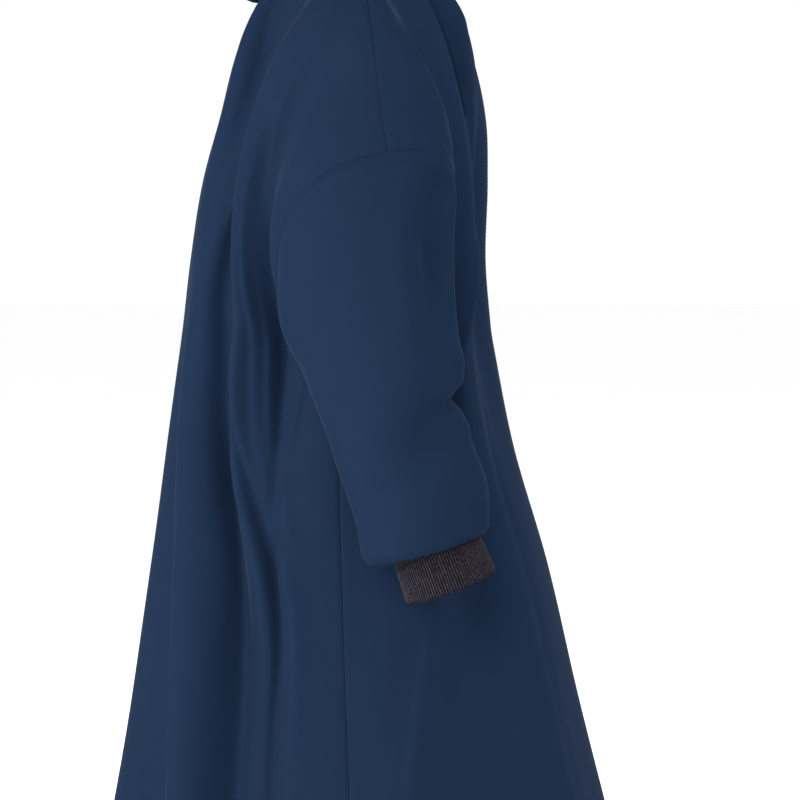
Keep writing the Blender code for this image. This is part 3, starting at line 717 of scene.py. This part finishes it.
for wearers, side in (("right", -1), ("left", 1)):
    turn = np.arange(sleeve["columns"]) / sleeve["columns"]
    even = np.linspace(sleeve["evenFrom"], 1, sleeve["rows"])
    down = (len(armRows) - 1) * np.concatenate([sleeve["near"], even])
    turnGrid, downGrid = np.meshgrid(turn, down)
    angle = turnGrid * 2 * math.pi
    ring = {name: arm[name](downGrid) for name in arm}
    base = ringPoint(ring, turnGrid)
    away = units(stack(np.cos(angle) / ring["side"], np.sin(angle) / ring["depth"], 0.0))
    share = 1 if side < 0 else sleeve["leftShare"]
    height = bumps(armFolds, downGrid, turnGrid) + bumps(armCreases, downGrid, turnGrid)
    height = height * eased(downGrid, 0, 1) * share
    puff = sleeve["headPuff"] * np.exp(-(((downGrid - sleeve["puffAt"]) / sleeve["puffReach"]) ** 2))
    height += puff * eased(np.cos(angle), -0.2, 0.8)
    height += softNoise(11 + side, base, sleeve["noiseSize"]) * cloth["waviness"] * eased(downGrid, 0.1, 1)
    upper = base + away * height[..., None]
    lipDown = np.linspace(0, len(lipRows) - 1, sleeve["lipRows"])[1:]
    lipTurn, lipPlace = np.meshgrid(turn, lipDown)
    lower = ringPoint({name: lip[name](lipPlace) for name in lip}, lipTurn)
    fadeOut = (1 - eased(lipPlace, 0, sleeve["lipFold"]))[..., None]
    lower = lower + (upper[-1] - base[-1])[None] * fadeOut
    circle = turn * 2 * math.pi
    gather = sleeve["gather"] * np.sin(circle * sleeve["gathers"] + 1.5 * np.sin(circle * 5))
    gather = gather * (0.6 + 0.4 * np.sin(circle * 3))
    lower[..., 2] -= gather * np.exp(-(((lipPlace - sleeve["lipFold"]) / sleeve["gatherReach"]) ** 2))
    grid = np.concatenate([upper, lower]) * [side, 1, 1]
    if side > 0:
        grid = grid[:, ::-1]
    rolled = rollIn(grid, ("bottom",), wraps=True, depth=cloth["thinRollDepth"])
    piece = clothPiece(f"sleeve_{wearers}_cloth", rolled, wraps=True)
    declare(piece, grid, wraps=True)
    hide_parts(f"sleeve_{wearers}")
print("sleeves made")

# cuffs: ribs raised round a folded tube of knitting


def cuffBump(down, shape):
    rise, place, reach = shape
    return rise * math.exp(-(((down - place) / reach) ** 2))


for wearers, side in (("right", -1), ("left", 1)):
    count = cuff["ribs"] * cuff["ribSteps"]
    turn = np.arange(count) / count
    rib = 0.5 - 0.5 * np.cos(turn * 2 * math.pi * cuff["ribs"])
    raised = cuff["ribRise"] * rib**0.8
    rows = []
    downs = np.linspace(0, 1, cuff["rows"])
    for down in downs:
        squeeze = cuffBump(down, cuff["waist"]) + cuffBump(down, cuff["flare"])
        rows.append(ringPoint(cuffRing(down, squeeze + raised), turn))
    for step in range(1, cuff["foldRows"] + 1):
        angle = math.pi * step / (cuff["foldRows"] + 1)
        inward = -cuff["wall"] * (1 - math.cos(angle)) / 2
        past = 1 - cuff["foldRise"] + math.sin(angle) * cuff["foldRise"]
        fading = raised * (1 - step / (cuff["foldRows"] + 1))
        rows.append(ringPoint(cuffRing(past, inward + fading), turn))
    for down in np.linspace(cuff["innerFrom"], 0, cuff["innerRows"]):
        rows.append(ringPoint(cuffRing(down, -cuff["wall"]), turn))
    grid = np.array(rows) * [side, 1, 1]
    uv = np.stack(np.meshgrid(turn, np.arange(len(rows)) / cuff["rows"]), -1)
    if side > 0:
        grid = grid[:, ::-1]
        uv = uv[:, ::-1]
    piece = addMesh(f"cuff_{wearers}_knit", grid, gridFaces(len(rows), count, True, True), uv)
    knitLength = float(np.linalg.norm(grid[len(downs) - 1] - grid[0], axis=-1).mean())
    knitWidth = areaOf(grid, True) / 2 / knitLength
    print(f"cuff_{wearers}_knit: cut from {knitWidth:.3f} x {knitLength:.3f} m, all round")
    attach(piece, "garment")
    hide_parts(f"cuff_{wearers}")
print("cuffs made")

# hood: a standing collar at the front that rolls over into the pouch behind
hood = {
    "rows": 70,
    "columns": 96,
    "lastStep": 10,
    "collarUntil": 0.85,
    "pouchFrom": 1.95,
    "pouchDrop": 2.6,
    "neckRise": -0.0007,  # into the neckline, which dips into its seam
    "near": (0.003, 0.006),
}
hoodCurves = curvesOf(
    "step frontOut frontUp backOut backUp",
    (
        (0, 0.000, 0.000, 0.000, 0.000),
        (1, -0.001, 0.008, 0.001, 0.015),
        (2, -0.001, 0.015, 0.009, 0.024),
        (3, 0.000, 0.022, 0.019, 0.012),
        (4, 0.001, 0.028, 0.0235, -0.016),
        (5, 0.002, 0.034, 0.0275, -0.045),
        (6, 0.004, 0.039, 0.062, -0.030),
        (7, 0.006, 0.044, 0.100, -0.013),
        (8, 0.008, 0.049, 0.132, 0.018),
        (9, 0.0096, 0.053, 0.141, 0.056),
        (10, 0.0108, 0.056, 0.124, 0.084),
    ),
)


def neckPoint(along):
    front = topPoint(-1, np.minimum(along, 1) * body["neckShare"])
    behind = topPoint(1, np.clip(2 - along, 0, 1) * body["neckShare"])
    return np.where((along <= 1)[..., None], front, behind)


def hoodPoint(along, step):
    start = neckPoint(along)
    pouch = eased(along, hood["collarUntil"], hood["pouchFrom"])
    curve = {name: hoodCurves[name](step) for name in hoodCurves}
    out = curve["frontOut"] + (curve["backOut"] - curve["frontOut"]) * pouch
    up = curve["frontUp"] + (curve["backUp"] - curve["frontUp"]) * pouch ** hood["pouchDrop"]
    away = units(start * [1, 1, 0])
    lift = stack(0.0, 0.0, up + hood["neckRise"])
    return start + away * out[..., None] + lift


for wearers, side in (("right", -1), ("left", 1)):
    places = 2 * closeEnds(hood["columns"], hood["near"])
    along, step = np.meshgrid(places, hood["lastStep"] * np.linspace(0, 1, hood["rows"]))
    grid = hoodPoint(along, step)
    grid[..., 0] += panels["zipHalfWidth"] * (1 - np.minimum(1, along)) ** 2
    grid = grid * [side, 1, 1]
    if side < 0:
        grid = grid[:, ::-1]
    seams = ("right", "bottom") if side > 0 else ("left", "bottom")
    piece = clothPiece(f"hood_{wearers}_cloth", rollIn(grid, seams, depth=cloth["thinRollDepth"]))
    declare(piece, grid)
    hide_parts(f"hood_{wearers}")
print("hood made")

# zip: a strip of tape between the front edges and a chain of teeth. The slider and pull are
# the solids' own
zipper = {
    "frontSteps": 400,
    "collarSteps": 60,
    "knotEvery": 4,
    "aheadStep": 0.002,
    "tapeRows": 320,
    # half the tape's profile, from its edge to beside the middle: aside and rise
    "tapeProfile": (
        (-0.0070, 0.0),
        (-0.0048, 0.0),
        (-0.0040, 0.0002),
        (-0.0028, 0.0005),
        (-0.0019, 0.0004),
        (-0.0007, 0.0001),
    ),
    "tapeSink": 0.0010,
    "tapeWall": 0.0011,
    "chainRise": 0.0014,
    "toothPitch": 0.0026,
    "toothSize": (0.0040, 0.0011, 0.0015),
    "toothHead": (1, 0.9, 0.62),
    "toothBevel": 0.00022,
    "toothReach": 0.0009,
    "endGap": 0.004,
}
frontLine = smoothBody(-1, np.zeros(zipper["frontSteps"]), np.linspace(0, 2, zipper["frontSteps"]))
collarSteps = np.linspace(0, hood["lastStep"], zipper["collarSteps"])
collarLine = hoodPoint(np.zeros(zipper["collarSteps"]), collarSteps)
zipLine = np.concatenate([frontLine[:-1], collarLine]) * [0, 1, 1]
zipLength = np.concatenate([[0], np.cumsum(np.linalg.norm(np.diff(zipLine, axis=0), axis=-1))])
zipKnots = slice(None, None, zipper["knotEvery"])
zipAt = [through(zipLength[zipKnots], zipLine[zipKnots, axis]) for axis in range(3)]


def zipMiddle(places):
    return stack(zipAt[0](places), zipAt[1](places), zipAt[2](places))


def zipPoint(places):
    ahead = zipMiddle(places + zipper["aheadStep"])
    behind = zipMiddle(places - zipper["aheadStep"])
    up = units(ahead - behind)
    away = units(np.cross([1.0, 0, 0], up))
    return zipMiddle(places), up, away


def buildTape():
    # flat at both edges, with a low ridge each side of the chain
    profile = zipper["tapeProfile"]
    profile = profile + tuple((-x, rise) for x, rise in reversed(profile))
    point, _, away = zipPoint(np.linspace(0, zipLength[-1], zipper["tapeRows"]))
    lines = [point + np.array([x, 0, 0]) + away * (rise - zipper["tapeSink"]) for x, rise in profile]
    grid = np.stack(lines, axis=1)
    tape = clothPiece("zip_tape", grid, wall=zipper["tapeWall"])
    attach(tape, "garment")
    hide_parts("zip")


def buildTooth():
    # one tooth: a small block with softened edges and a narrower head
    bpy.ops.object.select_all(action="DESELECT")
    bpy.ops.mesh.primitive_cube_add(size=1)
    tooth = bpy.context.object
    tooth.name = "zip_tooth"
    tooth.scale = zipper["toothSize"]
    bpy.ops.object.transform_apply(scale=True)
    bpy.ops.object.mode_set(mode="EDIT")
    bpy.ops.mesh.select_all(action="DESELECT")
    bpy.ops.object.mode_set(mode="OBJECT")
    for face in tooth.data.polygons:
        face.select = face.normal.x > 0.9
    bpy.ops.object.mode_set(mode="EDIT")
    bpy.ops.transform.resize(value=zipper["toothHead"])
    bpy.ops.mesh.select_all(action="SELECT")
    bpy.ops.mesh.bevel(offset=zipper["toothBevel"], segments=1, affect="EDGES")
    bpy.ops.object.mode_set(mode="OBJECT")
    return tooth


def spread(name, pattern, frames):
    # one mesh of copies of the pattern, a copy at each frame of three axes and a place
    base = np.array([vertex.co for vertex in pattern.data.vertices])
    faces = [tuple(face.vertices) for face in pattern.data.polygons]
    points = []
    allFaces = []
    for turned, place in frames:
        start = len(points) * len(base)
        points.append(base @ turned + place)
        allFaces += [tuple(corner + start for corner in face) for face in faces]
    made = addMesh(name, np.array(points), allFaces)
    bpy.data.objects.remove(pattern)
    return made


def buildTeeth():
    places = np.arange(zipper["endGap"], zipLength[-1] - zipper["endGap"], zipper["toothPitch"] / 2)
    point, up, away = zipPoint(places)
    frames = []
    lift = zipper["chainRise"] - zipper["tapeSink"] - zipper["toothSize"][1] / 2
    for at in range(len(places)):
        hand = 1 if at % 2 else -1
        axes = np.array([[hand, 0, 0], away[at] * -1, up[at]])
        if np.linalg.det(axes) < 0:
            axes[1] = away[at]
        aside = np.array([-hand * zipper["toothReach"], 0, 0])
        frames.append((axes, point[at] + away[at] * lift + aside))
    teeth = spread("zip_teeth", buildTooth(), frames)
    teeth.data.shade_flat()
    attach(teeth, "garment")


buildTape()
buildTeeth()
print("zip made")

# topstitching: thread laid in short raised stitches along a line on the cloth
stitching = {
    "length": 0.0031,
    "gap": 0.0009,
    "radius": 0.00030,
    "sides": 5,
    "endSink": 1.5,
    "raised": 0.4,
    "fromHem": 0.025,
    "fromZip": 0.008,
}


def buildStitch():
    bpy.ops.object.select_all(action="DESELECT")
    bpy.ops.mesh.primitive_cylinder_add(
        vertices=stitching["sides"],
        radius=stitching["radius"],
        depth=stitching["length"],
        rotation=(math.pi / 2, 0, 0),
    )
    stitch = bpy.context.object
    bpy.ops.object.transform_apply(rotation=True)
    bpy.ops.object.mode_set(mode="EDIT")
    bpy.ops.mesh.select_all(action="SELECT")
    bpy.ops.mesh.bisect(plane_co=(0, 0, 0), plane_no=(0, 1, 0))
    bpy.ops.object.mode_set(mode="OBJECT")
    for vertex in stitch.data.vertices:
        if abs(vertex.co.y) > stitching["length"] / 4:
            vertex.co.z -= stitching["radius"] * stitching["endSink"]
    return stitch


def lineFrames(points, normals):
    far = np.concatenate([[0], np.cumsum(np.linalg.norm(np.diff(points, axis=0), axis=-1))])
    pitch = stitching["length"] + stitching["gap"]
    frames = []
    for place in np.arange(pitch, far[-1] - pitch / 2, pitch):
        at = int(np.searchsorted(far, place)) - 1
        share = (place - far[at]) / max(1e-9, far[at + 1] - far[at])
        point = points[at] + (points[at + 1] - points[at]) * share
        normal = units(normals[at] + (normals[at + 1] - normals[at]) * share)
        along = units(points[at + 1] - points[at])
        across = units(np.cross(along, normal))
        axes = np.array([across, along, np.cross(across, along)])
        frames.append((axes, point + normal * stitching["radius"] * stitching["raised"]))
    return frames


def gridLine(grid, edge, distance):
    # along the row or column whose mean distance from the edge is nearest the one asked for
    byRow = edge in ("top", "bottom")
    far = edgeDistance(grid, edge).mean(axis=1 if byRow else 0)
    at = int(np.argmin(np.abs(far - distance)))
    normals = gridNormals(grid)
    if byRow:
        return lineFrames(grid[at], normals[at])
    return lineFrames(grid[:, at], normals[:, at])


def sewPiece(name, frames):
    thread = spread(name, buildStitch(), frames)
    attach(thread, "garment")


sewPiece("hem_stitching_back", gridLine(backGrid, "bottom", stitching["fromHem"]))
for wearers in ("right", "left"):
    # the wearer's side is also the name of the front's edge at the zip
    frames = gridLine(frontGrids[wearers], "bottom", stitching["fromHem"])
    frames += gridLine(frontGrids[wearers], wearers, stitching["fromZip"])
    sewPiece(f"front_{wearers}_stitching", frames)
print("stitching made")


# materials
class Value:
    # a socket that takes part in sums
    def __init__(self, shader, socket):
        self.shader = shader
        self.socket = socket

    def join(self, operation, *others):
        return self.shader.node("ShaderNodeMath", {"operation": operation}, dict(enumerate((self, *others))))

    def __add__(self, other):
        return self.join("ADD", other)

    def __sub__(self, other):
        return self.join("SUBTRACT", other)

    def __rsub__(self, other):
        return self.shader.node("ShaderNodeMath", {"operation": "SUBTRACT"}, {0: other, 1: self})

    def __mul__(self, other):
        return self.join("MULTIPLY", other)

    def __pow__(self, other):
        return self.join("POWER", other)

    __radd__ = __add__
    __rmul__ = __mul__


class Shader:
    def __init__(self, name, constants):
        self.material = bpy.data.materials.new(name)
        self.material.use_nodes = True
        self.tree = self.material.node_tree
        self.main = self.tree.nodes["Principled BSDF"]
        for socket, value in constants.items():
            self.main.inputs[socket].default_value = value

    def node(self, kind, settings=None, inputs=None, output=0):
        made = self.tree.nodes.new(kind)
        for key, value in (settings or {}).items():
            if key == "stops":
                ramp = made.color_ramp
                ramp.elements[0].position, ramp.elements[0].color = value[0]
                ramp.elements[1].position, ramp.elements[1].color = value[-1]
                for place, colour in value[1:-1]:
                    ramp.elements.new(place).color = colour
            else:
                setattr(made, key, value)
        for key, value in (inputs or {}).items():
            if isinstance(value, Value):
                self.tree.links.new(value.socket, made.inputs[key])
            else:
                made.inputs[key].default_value = value
        return Value(self, made.outputs[output])

    def objectPlace(self, scale=(1, 1, 1)):
        place = self.node("ShaderNodeTexCoord", output="Object")
        return self.node("ShaderNodeMapping", inputs={"Vector": place, "Scale": scale})

    def noise(self, place, scale, detail=2.0, roughness=0.5):
        inputs = {"Vector": place, "Scale": scale, "Detail": detail, "Roughness": roughness}
        return self.node("ShaderNodeTexNoise", inputs=inputs, output="Fac")

    def mixColour(self, factor, low, high):
        # the node's colour sockets share their names with others, so they go by number
        settings = {"data_type": "RGBA", "blend_type": "MIX", "clamp_factor": True}
        return self.node("ShaderNodeMix", settings, {"Factor": factor, 6: low, 7: high}, output=2)

    def bump(self, height, strength, distance):
        inputs = {"Height": height, "Strength": strength, "Distance": distance}
        return self.node("ShaderNodeBump", inputs=inputs)

    def clothPlace(self):
        # how far across and down the cloth, from its map
        uv = self.node("ShaderNodeUVMap", {"uv_map": "cloth"})
        spot = self.node("ShaderNodeSeparateXYZ", inputs={"Vector": uv})
        return spot, Value(self, spot.socket.node.outputs[1])

    def feed(self, socket, value):
        self.tree.links.new(value.socket, self.main.inputs[socket])


def paint(names, shader):
    for name in names:
        obj = bpy.data.objects[name]
        obj.data.materials.clear()
        obj.data.materials.append(shader.material)


def navyCloth():
    shader = Shader(
        "navy cloth",
        {
            "Specular IOR Level": 0.0,
            "Sheen Weight": 0.035,
            "Sheen Roughness": 0.22,
            "Sheen Tint": (0.80, 0.86, 1.0, 1),
        },
    )
    place = shader.objectPlace()
    blotch = shader.noise(place, 4.0, 2.0)
    cloud = shader.noise(place, 38.0, 3.0, 0.6)
    fibre = shader.noise(place, 900.0, 2.0, 0.7)
    tone = 0.34 * blotch + 0.22 * cloud + 0.44 * fibre
    low = (0.0042, 0.0091, 0.0215, 1)
    high = (0.0071, 0.0143, 0.0317, 1)
    shader.feed("Base Color", shader.mixColour(tone, low, high))
    shader.feed("Roughness", 0.66 + 0.20 * cloud)
    spot, down = shader.clothPlace()
    threadPitch = 0.0008
    threads = 2 * math.pi / threadPitch
    slant = ((spot + down) * threads).join("SINE")
    weft = ((spot - down) * threads).join("SINE")
    grain = slant * 0.25 + weft * 0.10 + fibre * 1.1
    shader.feed("Normal", shader.bump(grain, 0.22, 0.0002))
    return shader


def charcoalKnit():
    shader = Shader(
        "charcoal knit",
        {
            "Specular IOR Level": 0.04,
            "Sheen Weight": 0.01,
            "Sheen Roughness": 0.5,
            "Sheen Tint": (0.85, 0.75, 0.85, 1),
        },
    )
    spot, down = shader.clothPlace()
    stitchRows = 42
    ribWave = 0.5 - 0.5 * (spot * (2 * math.pi * cuff["ribs"])).join("COSINE")
    stitches = 0.5 + 0.5 * (down * (2 * math.pi * stitchRows) + ribWave * 2.4).join("SINE")
    place = shader.objectPlace()
    fleck = shader.noise(place, 430.0, 2.0, 0.9)
    speck = shader.noise(place, 1500.0, 1.0, 0.5)
    # painted shade: where ribWave is low, in the rib grooves beside the real raised ribs, the colour runs down
    # to near black, and the ribs are lighter. The stitch rows lighten it along each row, and the flecks and
    # specks are the yarn's own heather colour
    light = (ribWave**1.6) * (0.10 + 0.50 * stitches + 3.2 * (fleck - 0.42)) + 0.7 * (speck - 0.50)
    colour = shader.mixColour(light, (0.0008, 0.0007, 0.0014, 1), (0.033, 0.030, 0.044, 1))
    warm = shader.mixColour(0.15 * fleck, colour, (0.022, 0.016, 0.014, 1))
    shader.feed("Base Color", warm)
    shader.feed("Roughness", 0.80 + 0.15 * fleck)
    shader.feed("Normal", shader.bump(stitches * ribWave + fleck * 0.5, 0.55, 0.0004))
    return shader


def grainedPaint(name, colour, roughness):
    shader = Shader(name, {"Specular IOR Level": 0.4})
    place = shader.objectPlace()
    grain = shader.noise(place, 1200.0, 2.0, 0.6)
    dark = tuple(0.7 * value for value in colour[:3]) + (1,)
    shader.feed("Base Color", shader.mixColour(grain, dark, colour))
    shader.feed("Roughness", roughness - 0.1 + 0.2 * grain)
    shader.feed("Normal", shader.bump(grain, 0.25, 0.0002))
    return shader


def sliderMetal():
    shader = Shader("slider metal", {"Metallic": 0.9})
    place = shader.objectPlace()
    wear = shader.noise(place, 260.0, 4.0, 0.6)
    shader.feed("Base Color", shader.mixColour(wear, (0.075, 0.080, 0.092, 1), (0.15, 0.155, 0.17, 1)))
    shader.feed("Roughness", 0.28 + 0.22 * wear)
    shader.feed("Normal", shader.bump(shader.noise(place, 1400.0, 2.0), 0.12, 0.0001))
    return shader


pairs = [f"{part}_{wearers}_cloth" for part in ("front", "sleeve", "hood") for wearers in ("right", "left")]
threadPieces = ["hem_stitching_back", "front_right_stitching", "front_left_stitching"]
paint(["back_cloth"] + pairs, navyCloth())
paint(["cuff_right_knit", "cuff_left_knit"], charcoalKnit())
paint(["zip_tape"], grainedPaint("zip tape", (0.0150, 0.0200, 0.0340, 1), 0.75))
paint(["zip_teeth"], grainedPaint("zip teeth", (0.0200, 0.0220, 0.0280, 1), 0.42))
paint(threadPieces, grainedPaint("thread", (0.026, 0.044, 0.088, 1), 0.7))
paint(["zip_slider", "zip_pull"], sliderMetal())
print("materials made")

# floor, light and camera
studio = {
    "floorZ": -1.47,
    "floorSize": 60,
    "target": (0.0, -0.0416, -0.4743),
    "distance": 3.0,
    "elevation": math.radians(4),
    "metresPerPixel": 0.00104,
    "pixels": 800,
    "sensor": 36.0,
    "worldStrength": 1.02,
    "lampAim": (0, 0, -0.5),
}
bpy.ops.object.select_all(action="DESELECT")
bpy.ops.mesh.primitive_plane_add(size=studio["floorSize"], location=(0, 0, studio["floorZ"]))
floor = bpy.context.object
floor.name = "studio_floor"
bpy.ops.object.transform_apply(location=True, scale=True)
floorPaint = Shader("studio floor", {"Roughness": 0.9, "Specular IOR Level": 0.1})
floorPlace = floorPaint.objectPlace()
floorTones = ((0.955, 0.955, 0.955, 1), (0.975, 0.975, 0.975, 1))
floorPaint.feed("Base Color", floorPaint.mixColour(floorPaint.noise(floorPlace, 3.0), *floorTones))
paint(["studio_floor"], floorPaint)

world = bpy.data.worlds.new("studio")
world.use_nodes = True
surroundings = world.node_tree.nodes["Background"]
surroundings.inputs["Color"].default_value = (1, 1, 1, 1)
surroundings.inputs["Strength"].default_value = studio["worldStrength"]
bpy.context.scene.world = world


def softBox(name, place, size, watts):
    lamp = bpy.data.lights.new(name, "AREA")
    lamp.shape = "SQUARE"
    lamp.size = size
    lamp.energy = watts
    obj = bpy.data.objects.new(name, lamp)
    obj.location = place
    way = Vector(studio["lampAim"]) - Vector(place)
    obj.rotation_euler = way.to_track_quat("-Z", "Y").to_euler()
    bpy.context.scene.collection.objects.link(obj)


softBox("key light", (-1.63, 3.49, 0.9), 1.2, 200)
softBox("side light", (-3.8, 0.95, 0.56), 1.6, 150)
softBox("front light", (0.55, -3.05, 2.2), 1.4, 210)
softBox("rim light", (1.65, 3.55, 0.6), 1.2, 70)

camera = bpy.data.cameras.new("camera")
camera.sensor_width = studio["sensor"]
camera.lens = studio["distance"] / studio["metresPerPixel"] * studio["sensor"] / studio["pixels"]
camera.dof.use_dof = False
eye = bpy.data.objects.new("camera", camera)
aim = Vector(studio["target"])
outward = Vector((-math.cos(studio["elevation"]), 0, math.sin(studio["elevation"])))
eye.location = aim + studio["distance"] * outward
eye.rotation_euler = (aim - eye.location).to_track_quat("-Z", "Y").to_euler()
bpy.context.scene.collection.objects.link(eye)
bpy.context.scene.camera = eye
bpy.context.scene.view_settings.view_transform = "Standard"
print("studio made")
